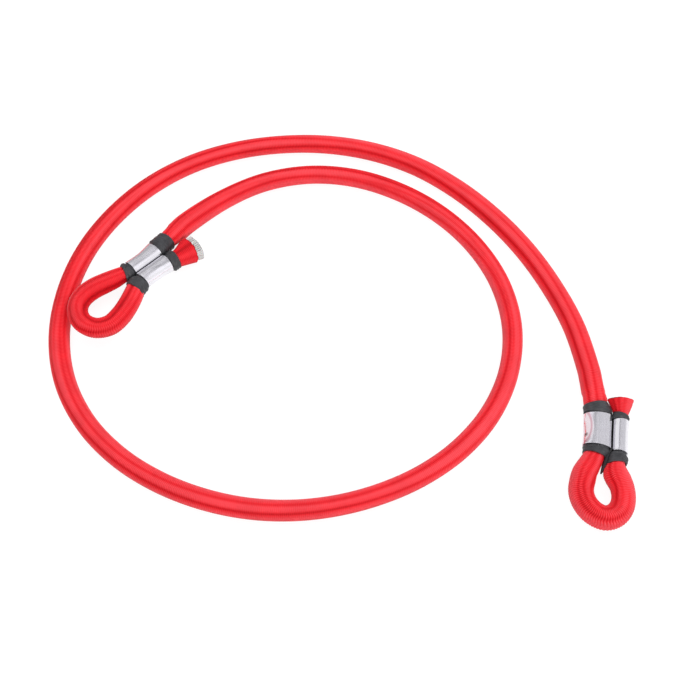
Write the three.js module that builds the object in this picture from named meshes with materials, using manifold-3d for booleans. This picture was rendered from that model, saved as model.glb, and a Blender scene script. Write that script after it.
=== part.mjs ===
// An elastic cord with an eye at each end, lying on a flat surface (z = 0) in a loose ring.
// One length of braided sheath over a rubber core runs from tail to tail. Each end is folded back into
// an eye and crimped in a two-barrel aluminium ferrule, with a rubber liner round each leg.
// Millimetres, +Z up. The photograph's viewer looks along +Y.
import * as THREE from "three";
import { mergeVertices } from "three/addons/utils/BufferGeometryUtils.js";
import Module from "manifold-3d";

const wasm = await Module();
wasm.setup();

// Cord
const CORD_DIAMETER = 16;
const SHEATH_WALL = 1.2;
const CORD_RADIUS = CORD_DIAMETER / 2;
const SETTLE = CORD_DIAMETER / 10; // depth of the flat on which the lying cord rests
const REST_HEIGHT = CORD_RADIUS - SETTLE;
const CORD_SIDES = 12;
const STEP_LENGTH = 36; // spacing of the sections along the lying run
const LEAD = 14; // straight stretch of cord where it leaves an end
const CLEARANCE = 0.3; // between pieces that touch

// Ferrule and liners
const FERRULE_LENGTH = 27;
const FERRULE_WALL = 1.1;
const FERRULE_PINCH = 0.4; // depth to which the two barrels' walls merge along the seam
const LINER_WALL = 1.0;
const LINER_EDGE = 0.7; // thickness at a liner's free edge
const LIP_SWELL = 1.2; // extra thickness where a liner is squeezed out past the ferrule, towards the eye
const COLLAR_SWELL = 1.1; // and towards the cord
const LIP_DISTANCE = 3; // from the ferrule's rim to the crest of either swelling
const REVEAL = 10; // necked cord between a liner's outer edge and the full diameter
const DENT_RADIUS = 3.2;
const DENT_DEPTH = 0.5;
const BORE_OVERRUN = 1; // how far a cutter runs past the end that it opens
const RIM = FERRULE_LENGTH / 2;
const LINER_INSET = CLEARANCE; // from the cord's surface to the inside of its liner
const LINER_OUTSIDE = LINER_INSET + LINER_WALL;
const BORE_INSET = LINER_OUTSIDE + CLEARANCE;
const BARREL_OUTSIDE = BORE_INSET + FERRULE_WALL;

// Exposed core strands at the tail of end A
const STRAND_COUNT = 16;
const STRAND_REACH = 5.5; // how far they stand out of the sheath
const STRAND_FLARE = 1.2; // how much they spread there
const STRAND_CREST = 0.5; // height of a strand's rounded crest over the groove beside it
const STRAND_PLAY = 0.5; // the flats of the sheath come closer than its corners
const STRAND_INSET = SHEATH_WALL + STRAND_PLAY;

// Height of the middle of end A, whose eye lies on the shoulder of the ring
const END_A_HEIGHT = 1.35 * CORD_RADIUS;

// Detail of the lofted pieces
const RING_SIDES = 14;
const RINGS_PER_KNOT = 2;

// Each end in its own frame: +X from the ferrule's middle to the eye, +Y from the standing leg to the
// tail leg, z = 0 through the legs. A girth is [half width, half height] of the cord. In the barrels it is
// given outright; elsewhere it is what is added to the cord's radius.
const END_A = {
  name: "a",
  place: [-150.4, 44.1, END_A_HEIGHT],
  heading: -133, // degrees from +X, towards the eye
  tilt: 4.2, // degrees, eye up: it lies on the ring
  standing: {
    rimOut: [6.1, 3.9],
    waist: [4.9, 3.8],
    rimIn: [5.0, 3.8],
    bandOut: 14.8,
    bandIn: 8,
    slip: 0,
    edgeOut: [-0.5, -1.1],
    edgeIn: [-0.8, -2.2],
    mouthY: [-11.6, -10.2, -8.8],
    lipY: [-7.5, -8.1],
  },
  tail: {
    rimOut: [5.6, 3.9],
    waist: [4.9, 3.8],
    rimIn: [5.0, 3.8],
    bandOut: 7.8,
    bandIn: 9,
    slip: 1.5,
    edgeOut: [-0.8, -1.8],
    edgeIn: [-0.3, -2.0],
    mouthY: [12.4, 9.9, 8.8],
    lipY: [8.1, 10.2],
  },
  stub: 15.3,
  stubGirth: [3.6, 0],
  eye: [
    [30, -9.5, 0.2, -0.6],
    [38, -11.3, 0.4, 0.2],
    [46.5, -13, 0.5, 0.4],
    [57, -12.9, 0.4, 0.4],
    [66, -9.4, 0.2, 0.2],
    [72.6, -2.2, 0, 0],
    [75.4, 7.6, 0, 0],
    [71.8, 17.8, 0, 0],
    [62.5, 23.4, 0.2, 0.2],
    [50.8, 22.5, 0.5, 0.4],
    [39, 18.4, 0.4, 0.3],
    [30, 13.9, 0.3, -0.4],
  ],
  dent: { leg: "tail", along: 1, angle: 40 },
  lies: false,
};
const END_B = {
  name: "b",
  place: [204.6, -109.5, 7.4],
  heading: -98.6,
  tilt: 0,
  standing: {
    rimOut: [8.4, 3.9],
    waist: [8.1, 3.8],
    rimIn: [8.1, 3.8],
    bandOut: 9.4,
    bandIn: 8,
    slip: 0,
    edgeOut: [0.6, -1.8],
    edgeIn: [0, -1.8],
    mouthY: [-15.3, -13.3, -11.2],
    lipY: [-10.9, -12.4],
  },
  tail: {
    rimOut: [3.5, 3.9],
    waist: [3.3, 3.8],
    rimIn: [3.4, 3.8],
    bandOut: 6.5,
    bandIn: 10,
    slip: 3,
    edgeOut: [-2.8, -3.0],
    edgeIn: [-1.3, -1.8],
    mouthY: [5.7, 5.7, 5.7],
    lipY: [5.2, 3.7],
  },
  stub: 13.4,
  stubGirth: [1.9, -2.0],
  eye: [
    [30.5, -15.4, 1.6, -0.4],
    [36.5, -18.1, 1.8, 0.3],
    [43.5, -20, 1.3, 0.6],
    [52, -20.4, 1.1, 0.8],
    [60.3, -17.5, 1, 0.8],
    [67.4, -11, 1, 0.8],
    [70.2, -2.6, 1, 0.8],
    [66.8, 4.6, 1, 0.8],
    [60, 8.8, 0.8, 0.7],
    [51.5, 9.8, 0.7, 0.6],
    [43.5, 8.3, 0.9, 0.5],
    [36.5, 5.4, 1.5, 0.2],
  ],
  dent: { leg: "standing", along: 0.5, angle: 25 },
  lies: true,
};

// The lying run from end A to end B, chosen by hand from the photograph: x and y on the surface and, near
// the ends, how much the cord is lifted off it.
const RUN_POINTS = [
  [-94.8, 117.1, 0.35],
  [-60.0, 136.5, 0.15],
  [-22.0, 144.6],
  [16.8, 140.4],
  [53.7, 124.9],
  [86.3, 100.6],
  [113.0, 68.2],
  [131.1, 29.4],
  [137.7, -13.6],
  [131.6, -56.2],
  [114.8, -93.3],
  [90.6, -122.7],
  [62.1, -144.4],
  [31.2, -159.3],
  [-0.7, -168.5],
  [-33.4, -172.2],
  [-66.2, -170.1],
  [-98.7, -162.1],
  [-130.4, -148.3],
  [-160.4, -128.0],
  [-186.9, -99.9],
  [-206.4, -63.8],
  [-216.0, -21.8],
  [-214.8, 21.7],
  [-203.8, 63.8],
  [-183.8, 101.3],
  [-156.7, 132.8],
  [-123.8, 156.7],
  [-86.9, 171.8],
  [-47.8, 179.0],
  [-8.2, 178.9],
  [31.0, 170.7],
  [68.0, 154.0],
  [101.0, 129.0],
  [129.6, 98.4],
  [153.5, 64.0],
  [172.3, 26.5],
  [186.2, -12.8],
  [193.4, -53.2, 0.1],
];

// Nodes of the run, with the length along it at which each one ends; the last one runs to end B.
const RUN_STRETCHES = [
  ["lead_a", 100],
  ["turn_1", 400],
  ["turn_2", 700],
  ["turn_3", 1000],
  ["turn_4", 1290],
  ["stretch", 1455],
  ["lead_b", Infinity],
];

const finish = {
  sheath: { color: 0xe0141f, roughness: 0.62, metalness: 0 },
  core: { color: 0xe9e6df, roughness: 0.7, metalness: 0 },
  ferrule: { color: 0xc9ccd2, roughness: 0.24, metalness: 1 },
  liner: { color: 0x35383b, roughness: 0.6, metalness: 0 },
};

const bungee = new THREE.Group();

function addPiece(parent, name, geometry, material) {
  const mesh = new THREE.Mesh(geometry, new THREE.MeshStandardMaterial(finish[material]));
  mesh.name = name;
  parent.add(mesh);
}

// Half the angle of the flat on the underside of an oval that may reach so far below its axis. An oval that
// stays clear of the surface keeps a flat no wider than one of its sides.
function flatAngle(halfHeight, drop, sides) {
  return Math.max(Math.PI / sides, Math.acos(Math.min(1, drop / halfHeight)));
}

// Points round an oval section, from one edge of its flat underside to the other, as [side, up] pairs.
function ovalPoints(halfWidth, halfHeight, from, sides) {
  const points = [];
  for (let k = 0; k < sides; k++) {
    const angle = from + ((2 * Math.PI - 2 * from) * k) / (sides - 1);
    points.push([halfWidth * Math.sin(angle), -halfHeight * Math.cos(angle)]);
  }
  return points;
}

// A closed body through rings of equal count. A solid is capped at its two ends. A tube's rings run along
// the outside and back along the inside, and the last ring joins the first. Both sides of a tube are split
// into triangles the same way, so that nested pieces keep their clearance.
function loft(rings, isTube) {
  const count = rings[0].length;
  const index = [];
  const rows = isTube ? rings.length : rings.length - 1;
  for (let row = 0; row < rows; row++) {
    const near = row * count;
    const far = ((row + 1) % rings.length) * count;
    const isInside = isTube && row >= rings.length / 2;
    for (let k = 0; k < count; k++) {
      const next = (k + 1) % count;
      if (isInside) {
        index.push(near + k, near + next, far + k, near + next, far + next, far + k);
      } else {
        index.push(near + k, near + next, far + next, near + k, far + next, far + k);
      }
    }
  }
  if (!isTube) {
    const last = (rings.length - 1) * count;
    for (let k = 1; k < count - 1; k++) {
      index.push(0, k + 1, k, last, last + k, last + k + 1);
    }
  }
  const points = rings.flat();
  return facingOut(points, index);
}

function facingOut(points, index) {
  let volume = 0;
  for (let i = 0; i < index.length; i += 3) {
    const [a, b, c] = [points[index[i]], points[index[i + 1]], points[index[i + 2]]];
    volume += a.dot(b.clone().cross(c));
  }
  const geometry = new THREE.BufferGeometry().setFromPoints(points);
  geometry.setIndex(volume > 0 ? index : index.reverse());
  return geometry;
}

function toSolid(geometry) {
  const bare = geometry.clone();
  bare.deleteAttribute("normal");
  bare.deleteAttribute("uv");
  const merged = mergeVertices(bare);
  return new wasm.Manifold(
    new wasm.Mesh({
      numProp: 3,
      vertProperties: Float32Array.from(merged.attributes.position.array),
      triVerts: Uint32Array.from(merged.index.array),
    }),
  );
}

function fromSolid(solid) {
  const mesh = solid.getMesh();
  const geometry = new THREE.BufferGeometry();
  geometry.setAttribute("position", new THREE.BufferAttribute(mesh.vertProperties, 3));
  geometry.setIndex(new THREE.BufferAttribute(mesh.triVerts, 1));
  return geometry;
}

// Knots of one leg, from the far end of the cord outside the ferrule to the eye side of its liner.
// side is -1 for the standing leg and +1 for the tail leg.
function legKnots(leg, side, outerLength, outerGirth) {
  const barrelY = (girth) => side * (girth[0] + BARREL_OUTSIDE - FERRULE_PINCH / 2);
  const free = (extra) => extra.map((value) => CORD_RADIUS + value);
  const between = (one, two) => one.map((value, k) => (value + two[k]) / 2);
  const knot = (x, y, girth, wall) => ({ x: x + leg.slip, y, girth, wall });
  const edgeOut = free(leg.edgeOut);
  const edgeIn = free(leg.edgeIn);
  return [
    knot(-RIM - leg.bandOut - outerLength, leg.mouthY[0], free(outerGirth), 0),
    knot(-RIM - leg.bandOut, leg.mouthY[1], edgeOut, LINER_EDGE),
    knot(-RIM - LIP_DISTANCE, leg.mouthY[2], between(edgeOut, leg.rimOut), LINER_WALL + COLLAR_SWELL),
    knot(-RIM, barrelY(leg.rimOut), leg.rimOut, LINER_WALL),
    knot(0, barrelY(leg.waist), leg.waist, LINER_WALL),
    knot(RIM, barrelY(leg.rimIn), leg.rimIn, LINER_WALL),
    knot(RIM + LIP_DISTANCE, leg.lipY[0], between(leg.rimIn, edgeIn), LINER_WALL + LIP_SWELL),
    knot(RIM + leg.bandIn, leg.lipY[1], edgeIn, LINER_EDGE),
  ];
}
const KNOT = { linerOut: 1, rimOut: 3, rimIn: 5, linerIn: 7 };

// Sections of the cord along one whole end: place, direction, girth and liner wall of each, and how far
// below its axis the cord may reach.
function layEnd(end) {
  const coverOf = (knot) => (knot.wall > 0 ? LINER_INSET + knot.wall : 0);
  const standing = legKnots(end.standing, -1, REVEAL, [0, 0]);
  const tail = legKnots(end.tail, 1, end.stub, end.stubGirth).reverse();
  const eye = end.eye.map(([x, y, wide, high]) => ({
    x,
    y,
    girth: [CORD_RADIUS + wide, CORD_RADIUS + high],
    wall: 0,
  }));
  const knots = [...standing, ...eye, ...tail];
  const curve = new THREE.CatmullRomCurve3(knots.map((knot) => new THREE.Vector3(knot.x, knot.y, 0)));
  const spans = knots.length - 1;
  const sections = [];
  for (let n = 0; n <= spans * RINGS_PER_KNOT; n++) {
    const t = n / (spans * RINGS_PER_KNOT);
    const k = Math.floor(n / RINGS_PER_KNOT);
    const part = n / RINGS_PER_KNOT - k;
    const [one, two = one] = knots.slice(k);
    sections.push({
      centre: curve.getPoint(t),
      along: curve.getTangent(t),
      girth: one.girth.map((value, i) => THREE.MathUtils.lerp(value, two.girth[i], part)),
      wall: THREE.MathUtils.lerp(one.wall, two.wall, part),
      drop: end.lies ? end.place[2] - THREE.MathUtils.lerp(coverOf(one), coverOf(two), part) : Infinity,
    });
  }
  return { sections, last: spans };
}

// One ring round a section of an end, grown out from the cord's surface by the given amount.
function ringAt(section, grow) {
  const side = new THREE.Vector3(section.along.y, -section.along.x, 0);
  const [halfWidth, halfHeight] = section.girth;
  const from = flatAngle(halfHeight, section.drop, RING_SIDES);
  const oval = ovalPoints(halfWidth + grow, halfHeight + grow, from, RING_SIDES);
  return oval.map(([across, up]) =>
    section.centre.clone().addScaledVector(side, across).add(new THREE.Vector3(0, 0, up)),
  );
}

function tubeRound(sections, outside, inside) {
  const outer = sections.map((section) => ringAt(section, outside(section)));
  const inner = sections.map((section) => ringAt(section, inside));
  return loft([...outer, ...inner.reverse()], true);
}

function moved(section, distance) {
  return { ...section, centre: section.centre.clone().addScaledVector(section.along, distance) };
}

// The outside of one barrel of a ferrule, grown by the given amount.
function barrelRound(leg, grow) {
  const sections = grow > 0 ? [moved(leg[0], -grow), ...leg, moved(leg.at(-1), grow)] : leg;
  const rings = sections.map((section) => ringAt(section, BARREL_OUTSIDE + grow));
  return toSolid(loft(rings, false));
}

// The bore of one barrel, running past both its ends and shrunk by the given amount.
function boreRound(leg, shrink) {
  const through = [moved(leg[0], -BORE_OVERRUN), ...leg, moved(leg.at(-1), BORE_OVERRUN)];
  return toSolid(loft(through.map((section) => ringAt(section, BORE_INSET - shrink)), false));
}

// A rubber liner round one leg, pressed flat where it is squeezed out against the ferrule's ends.
function linerRound(sections, ownLeg, otherLeg) {
  const tube = tubeRound(sections, (section) => LINER_INSET + section.wall, LINER_INSET);
  const ownWall = barrelRound(ownLeg, CLEARANCE).subtract(boreRound(ownLeg, CLEARANCE / 2));
  return toSolid(tube).subtract(ownWall).subtract(barrelRound(otherLeg, CLEARANCE));
}

// The room that a liner takes up, with the clearance round it.
function linerRoom(sections) {
  const rings = sections.map((section) => ringAt(section, LINER_INSET + section.wall + CLEARANCE));
  return toSolid(loft(rings, false));
}

// Two barrels pinched together along a seam, each bored for its leg, with a crimping dent in one flank.
function makeFerrule(end, legs) {
  const section = legs[end.dent.leg][RINGS_PER_KNOT]; // at the waist
  const outward = end.dent.leg === "tail" ? 1 : -1;
  const angle = THREE.MathUtils.degToRad(end.dent.angle);
  const flank = new THREE.Vector3(
    end.dent.along,
    outward * Math.cos(angle) * (section.girth[0] + BARREL_OUTSIDE),
    Math.sin(angle) * (section.girth[1] + BARREL_OUTSIDE),
  );
  const normal = new THREE.Vector3(0, flank.y / (section.girth[0] + BARREL_OUTSIDE) ** 2, 0);
  normal.z = flank.z / (section.girth[1] + BARREL_OUTSIDE) ** 2;
  normal.normalize();
  const ball = new THREE.SphereGeometry(DENT_RADIUS, 12, 8);
  const ballAt = section.centre.clone().add(flank).addScaledVector(normal, DENT_RADIUS - DENT_DEPTH);
  ball.translate(ballAt.x, ballAt.y, ballAt.z);
  return fromSolid(
    barrelRound(legs.standing, 0)
      .add(barrelRound(legs.tail, 0))
      .subtract(boreRound(legs.standing, 0))
      .subtract(boreRound(legs.tail, 0))
      .subtract(toSolid(ball)),
  );
}

// A ring like the one above, fluted into the strands of the core.
function strandRing(section, grow) {
  const side = new THREE.Vector3(section.along.y, -section.along.x, 0);
  const points = [];
  for (let k = 0; k < STRAND_COUNT * 4; k++) {
    const angle = (2 * Math.PI * k) / (STRAND_COUNT * 4);
    const groove = STRAND_CREST * (1 - Math.abs(Math.cos((STRAND_COUNT * angle) / 2)));
    const across = (section.girth[0] + grow - groove) * Math.sin(angle);
    const up = (section.girth[1] + grow - groove) * Math.cos(angle);
    points.push(section.centre.clone().addScaledVector(side, across).add(new THREE.Vector3(0, 0, up)));
  }
  return points;
}

// Strands of the core, from where the crimped core ends to where they stand out of the tail.
function makeStrands(sections) {
  const [root, edge] = sections.slice(-2);
  const tip = moved(edge, STRAND_REACH);
  const rings = [
    strandRing(moved(root, CLEARANCE), -STRAND_INSET),
    strandRing(edge, -STRAND_INSET),
    strandRing(tip, STRAND_FLARE - STRAND_INSET),
  ];
  return loft(rings, false);
}

// All the pieces of one end. Returns where the lying run meets it and in which direction it leaves.
function addEnd(end) {
  const group = new THREE.Group();
  group.position.set(...end.place);
  group.rotation.order = "ZYX";
  group.rotation.z = THREE.MathUtils.degToRad(end.heading);
  group.rotation.y = -THREE.MathUtils.degToRad(end.tilt);
  bungee.add(group);

  const { sections, last } = layEnd(end);
  const span = (from, to) => sections.slice(from * RINGS_PER_KNOT, to * RINGS_PER_KNOT + 1);
  const legs = {
    standing: span(KNOT.rimOut, KNOT.rimIn),
    tail: span(last - KNOT.rimIn, last - KNOT.rimOut).reverse().map((section) => ({
      ...section,
      along: section.along.clone().negate(),
    })),
  };
  const liners = {
    standing: span(KNOT.linerOut, KNOT.linerIn),
    tail: span(last - KNOT.linerIn, last - KNOT.linerOut),
  };

  addPiece(group, `ferrule_${end.name}`, makeFerrule(end, legs), "ferrule");
  const standingLiner = linerRound(liners.standing, legs.standing, legs.tail);
  const tailLiner = linerRound(liners.tail, legs.tail, legs.standing);
  addPiece(group, `liner_standing_${end.name}`, fromSolid(standingLiner), "liner");
  addPiece(group, `liner_tail_${end.name}`, fromSolid(tailLiner.subtract(linerRoom(liners.standing))), "liner");
  const sheath = tubeRound(sections, () => 0, -SHEATH_WALL);
  addPiece(group, `sheath_eye_${end.name}`, sheath, "sheath");
  const coreRings = sections.slice(0, -1).map((section) => ringAt(section, -SHEATH_WALL - CLEARANCE));
  addPiece(group, `core_eye_${end.name}`, loft(coreRings, false), "core");

  group.updateMatrixWorld();
  const mouth = group.localToWorld(sections[0].centre.clone());
  const inside = group.localToWorld(sections[0].centre.clone().add(sections[0].along));
  return { group, mouth, outward: mouth.clone().sub(inside), sections };
}

// Part of the run, measured in millimetres along it.
class Stretch extends THREE.Curve {
  constructor(route, from, to) {
    super();
    this.route = route;
    this.from = from / route.getLength();
    this.to = to / route.getLength();
  }

  getPoint(t, target = new THREE.Vector3()) {
    this.route.getPointAt(THREE.MathUtils.lerp(this.from, this.to, t), target);
    target.z = Math.max(target.z, REST_HEIGHT);
    return target;
  }
}

// The run's section, with x down and y to the left of the way along it.
function runSection(inset) {
  const from = flatAngle(CORD_RADIUS, REST_HEIGHT, CORD_SIDES);
  const points = ovalPoints(CORD_RADIUS - inset, CORD_RADIUS - inset, from, CORD_SIDES);
  return points.map(([across, up]) => new THREE.Vector2(-up, across));
}

function addRun(startEnd, finishEnd) {
  const leave = ({ mouth, outward }, distance) => {
    const point = mouth.clone().addScaledVector(outward, distance);
    return point;
  };
  const route = new THREE.CatmullRomCurve3([
    leave(startEnd, CLEARANCE),
    leave(startEnd, LEAD),
    ...RUN_POINTS.map(([x, y, lift = 0]) => new THREE.Vector3(x, y, REST_HEIGHT + lift)),
    leave(finishEnd, LEAD),
    leave(finishEnd, CLEARANCE),
  ]);
  route.arcLengthDivisions = 2000;

  const sheathSection = new THREE.Shape(runSection(0));
  sheathSection.holes.push(new THREE.Path(runSection(SHEATH_WALL)));
  const coreSection = new THREE.Shape(runSection(SHEATH_WALL + CLEARANCE));
  let from = 0;
  for (const [name, mark] of RUN_STRETCHES) {
    const to = Math.min(mark, route.getLength());
    const extrude = {
      steps: Math.ceil((to - from) / STEP_LENGTH),
      extrudePath: new Stretch(route, from, to),
      bevelEnabled: false,
    };
    addPiece(bungee, `sheath_${name}`, new THREE.ExtrudeGeometry(sheathSection, extrude), "sheath");
    addPiece(bungee, `core_${name}`, new THREE.ExtrudeGeometry(coreSection, extrude), "core");
    from = to + CLEARANCE;
  }
}

const endA = addEnd(END_A);
const endB = addEnd(END_B);
addPiece(endA.group, "core_strands_a", makeStrands(endA.sections), "core");
addRun(endA, endB);

export default bungee;
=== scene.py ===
"""Looks of an elastic cord with two crimped eyes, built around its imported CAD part.

The cord is one braided tube, made along one path from the tail of end A to the tail of end B and then split
where the cord bends or stretches. Ferrules, liners and core strands follow the same path. Metres, +Z up.
"""

import math

import bpy
import numpy as np
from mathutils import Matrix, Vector


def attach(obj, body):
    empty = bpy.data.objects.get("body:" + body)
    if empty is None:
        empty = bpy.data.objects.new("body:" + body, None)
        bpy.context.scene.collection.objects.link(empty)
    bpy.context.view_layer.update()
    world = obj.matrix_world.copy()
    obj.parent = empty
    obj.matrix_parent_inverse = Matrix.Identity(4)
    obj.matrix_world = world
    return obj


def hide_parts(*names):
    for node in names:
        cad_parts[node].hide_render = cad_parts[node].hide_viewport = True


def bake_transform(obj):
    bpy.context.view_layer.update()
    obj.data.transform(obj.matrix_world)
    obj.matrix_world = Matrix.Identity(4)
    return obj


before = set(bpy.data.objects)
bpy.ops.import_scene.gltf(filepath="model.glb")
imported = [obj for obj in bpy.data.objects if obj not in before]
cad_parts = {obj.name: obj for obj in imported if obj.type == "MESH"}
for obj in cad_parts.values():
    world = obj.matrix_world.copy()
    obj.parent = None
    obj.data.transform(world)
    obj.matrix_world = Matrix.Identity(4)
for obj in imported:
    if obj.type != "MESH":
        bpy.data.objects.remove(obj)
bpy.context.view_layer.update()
scene = bpy.context.scene
MM = 0.001

# Camera of the photograph
IMAGE_SIZE = 680  # pixels, square
FOCAL_LENGTH_PIXELS = 1297.1
CAMERA_AT = (0.0029, -0.5896, 0.8434)
CAMERA_PITCH = math.radians(56)  # below the horizon

camera_data = bpy.data.cameras.new("camera")
camera_data.sensor_width = 36.0
camera_data.lens = camera_data.sensor_width * FOCAL_LENGTH_PIXELS / IMAGE_SIZE
camera_data.clip_start = 0.01
camera = bpy.data.objects.new("camera", camera_data)
camera.location = CAMERA_AT
camera.rotation_euler = (math.pi / 2 - CAMERA_PITCH, 0, 0)
scene.collection.objects.link(camera)
scene.camera = camera

# Cord
RADIUS = 8 * MM
SETTLE = RADIUS / 5  # how far the lying cord flattens
REST_HEIGHT = RADIUS - SETTLE
SHEATH_WALL = 1.2 * MM
LEAD = 14 * MM  # straight stretch where the cord leaves an end
RING_SPACING = 0.33 * MM
SIDES = 64

# Braid: zigzag ribs round the cord, in columns, with a few slack lines along it
COLUMNS = 16
RIB_PITCH = 1.32 * MM
RIB_SLANT = 0.2  # how far a rib climbs across one column, in pitches
RIB_HEIGHT = 0.11 * MM
RIB_GROWTH = 2.2  # how much a bend raises the ribs that it opens
EYE_A_OPENING = 0.4  # the braid of eye A stays closer than that of eye B
COLUMN_HEIGHT = 0.10 * MM
VALLEY_DEPTH = 0.45 * MM
VALLEY_WIDTH = 2.4 * MM
CREASE_DEPTH = 0.16 * MM  # at the bottom of a valley
CREASE_WIDTH = 0.9 * MM

# How light the yarn is on the flat, and how much painted shade and highlight follow the forms of the braid:
# lighter on rib and column crests, darker in valleys and creases
FLAT_TONE = 0.98
RIB_SHADING = 0.09
COLUMN_SHADING = 0.06
VALLEY_SHADE = 0.42
CREASE_SHADE = 0.40

# Cut tails
FRAY_A = 0.8 * MM
FRAY_B = 0.3 * MM
FRAY_RINGS = 24
DARK_RINGS_A = 4
BURNT_RINGS_B = 5
HEM_REACH = 8 * MM  # how far the sheath's inside shows

# Ferrules and liners, as in the CAD part
FERRULE_LENGTH = 27 * MM
RIM = FERRULE_LENGTH / 2
CLEARANCE = 0.3 * MM
LINER_WALL = 1.0 * MM
LINER_EDGE = 0.7 * MM
LIP_SWELL = 1.2 * MM
COLLAR_SWELL = 1.1 * MM
LIP_DISTANCE = 3 * MM
FERRULE_WALL = 1.1 * MM
FERRULE_PINCH = 0.4 * MM
REVEAL = 10 * MM
LINER_INSET = CLEARANCE
BORE_INSET = LINER_INSET + LINER_WALL + CLEARANCE
BARREL_OUTSIDE = BORE_INSET + FERRULE_WALL

# Finish of ferrules and liners
BARREL_SIDES = 96
BARREL_ROUNDING = 0.3 * MM
LINER_ROUNDING = 0.9 * MM
WRINKLE_HEIGHT = 0.15 * MM
SKEW_REACH = 6 * MM

# Each end in its own frame, in millimetres: +X from the ferrule's middle to the eye, +Y from the standing leg
# to the tail leg. Girths in the barrels are half width and half height; elsewhere they add to the radius.
# A skew is how much longer a liner is at its outer and at its inner flank, away from the eye and towards it.
# The dent and the painted reflections on a barrel lie so many millimetres along it and degrees up from its
# outer flank.
END_A = {
    "name": "a",
    "place": (-150.4, 44.1, 10.8),
    "heading": -133,
    "tilt": 4.2,
    "standing": {
        "barrel": ((6.1, 3.9), (4.9, 3.8), (5.0, 3.8)),
        "bands": (14.8, 8),
        "slip": 0,
        "edges": ((-0.5, -1.1), (-0.8, -2.2)),
        "mouth_y": (-11.6, -10.2, -8.8),
        "lip_y": (-7.5, -8.1),
        "skew": ((0, 0), (-2.6, 0.8)),
    },
    "tail": {
        "barrel": ((5.6, 3.9), (4.9, 3.8), (5.0, 3.8)),
        "bands": (7.8, 9),
        "slip": 1.5,
        "edges": ((-0.8, -1.8), (-0.3, -2.0)),
        "mouth_y": (12.4, 9.9, 8.8),
        "lip_y": (8.1, 10.2),
        "skew": ((0, 0), (5.2, -0.9)),
    },
    "stub": 15.3,
    "stub_girth": (3.6, 0),
    "eye": (
        (30, -9.5, 0.2, -0.6),
        (38, -11.3, 0.4, 0.2),
        (46.5, -13, 0.5, 0.4),
        (57, -12.9, 0.4, 0.4),
        (66, -9.4, 0.2, 0.2),
        (72.6, -2.2, 0, 0),
        (75.4, 7.6, 0, 0),
        (71.8, 17.8, 0, 0),
        (62.5, 23.4, 0.2, 0.2),
        (50.8, 22.5, 0.5, 0.4),
        (39, 18.4, 0.4, 0.3),
        (30, 13.9, 0.3, -0.4),
    ),
    "dent": {"leg": "tail", "place": (3, 55), "depth": 0.25, "half": (9, 5)},
}
END_B = {
    "name": "b",
    "place": (204.6, -109.5, 7.4),
    "heading": -98.6,
    "tilt": 0,
    "standing": {
        "barrel": ((8.4, 3.9), (8.1, 3.8), (8.1, 3.8)),
        "bands": (9.4, 8),
        "slip": 0,
        "edges": ((0.6, -1.8), (0, -1.8)),
        "mouth_y": (-15.3, -13.3, -11.2),
        "lip_y": (-10.9, -12.4),
        "skew": ((0, 0), (0.4, -1.4)),
    },
    "tail": {
        "barrel": ((3.5, 3.9), (3.3, 3.8), (3.4, 3.8)),
        "bands": (6.5, 10),
        "slip": 3,
        "edges": ((-2.8, -3.0), (-1.3, -1.8)),
        "mouth_y": (5.7, 5.7, 5.7),
        "lip_y": (5.2, 3.7),
        "skew": ((-1.4, 0.4), (-1.8, 1.2)),
    },
    "stub": 13.4,
    "stub_girth": (1.9, -2.0),
    "eye": (
        (30.5, -15.4, 1.6, -0.4),
        (36.5, -18.1, 1.8, 0.3),
        (43.5, -20, 1.3, 0.6),
        (52, -20.4, 1.1, 0.8),
        (60.3, -17.5, 1, 0.8),
        (67.4, -11, 1, 0.8),
        (70.2, -2.6, 1, 0.8),
        (66.8, 4.6, 1, 0.8),
        (60, 8.8, 0.8, 0.7),
        (51.5, 9.8, 0.7, 0.6),
        (43.5, 8.3, 0.9, 0.5),
        (36.5, 5.4, 1.5, 0.2),
    ),
    "dent": {
        "leg": "standing",
        "place": (1, 38),
        "depth": 0.9,
        "half": (11.5, 5),
        # painted reflections in the dent: a dark spot, and a pink arc with its half size
        "dark_reflection": (5.0, 30),
        "glint": (-1.5, 5),
        "glint_half": (19.3, 9.5),
    },
}

# The lying run from end A to end B: x and y on the surface.
RUN_POINTS = (
    (-0.0948, 0.1171),
    (-0.0600, 0.1365),
    (-0.0220, 0.1446),
    (0.0168, 0.1404),
    (0.0537, 0.1249),
    (0.0863, 0.1006),
    (0.1130, 0.0682),
    (0.1311, 0.0294),
    (0.1377, -0.0136),
    (0.1316, -0.0562),
    (0.1148, -0.0933),
    (0.0906, -0.1227),
    (0.0621, -0.1444),
    (0.0312, -0.1593),
    (-0.0007, -0.1685),
    (-0.0334, -0.1722),
    (-0.0662, -0.1701),
    (-0.0987, -0.1621),
    (-0.1304, -0.1483),
    (-0.1604, -0.1280),
    (-0.1869, -0.0999),
    (-0.2064, -0.0638),
    (-0.2160, -0.0218),
    (-0.2148, 0.0217),
    (-0.2038, 0.0638),
    (-0.1838, 0.1013),
    (-0.1567, 0.1328),
    (-0.1238, 0.1567),
    (-0.0869, 0.1718),
    (-0.0478, 0.1790),
    (-0.0082, 0.1789),
    (0.0310, 0.1707),
    (0.0680, 0.1540),
    (0.1010, 0.1290),
    (0.1296, 0.0984),
    (0.1535, 0.0640),
    (0.1723, 0.0265),
    (0.1862, -0.0128),
    (0.1934, -0.0532),
)
RUN_RISE = {0: 0.35 * MM, 1: 0.15 * MM, -1: 0.1 * MM}  # how far points near the ends stand up

# Where the run is cut, in metres along it, as the CAD nodes are
RUN_CUTS = {"lead_a": 0.100, "turns": 1.290, "stretch": 1.455}

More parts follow.
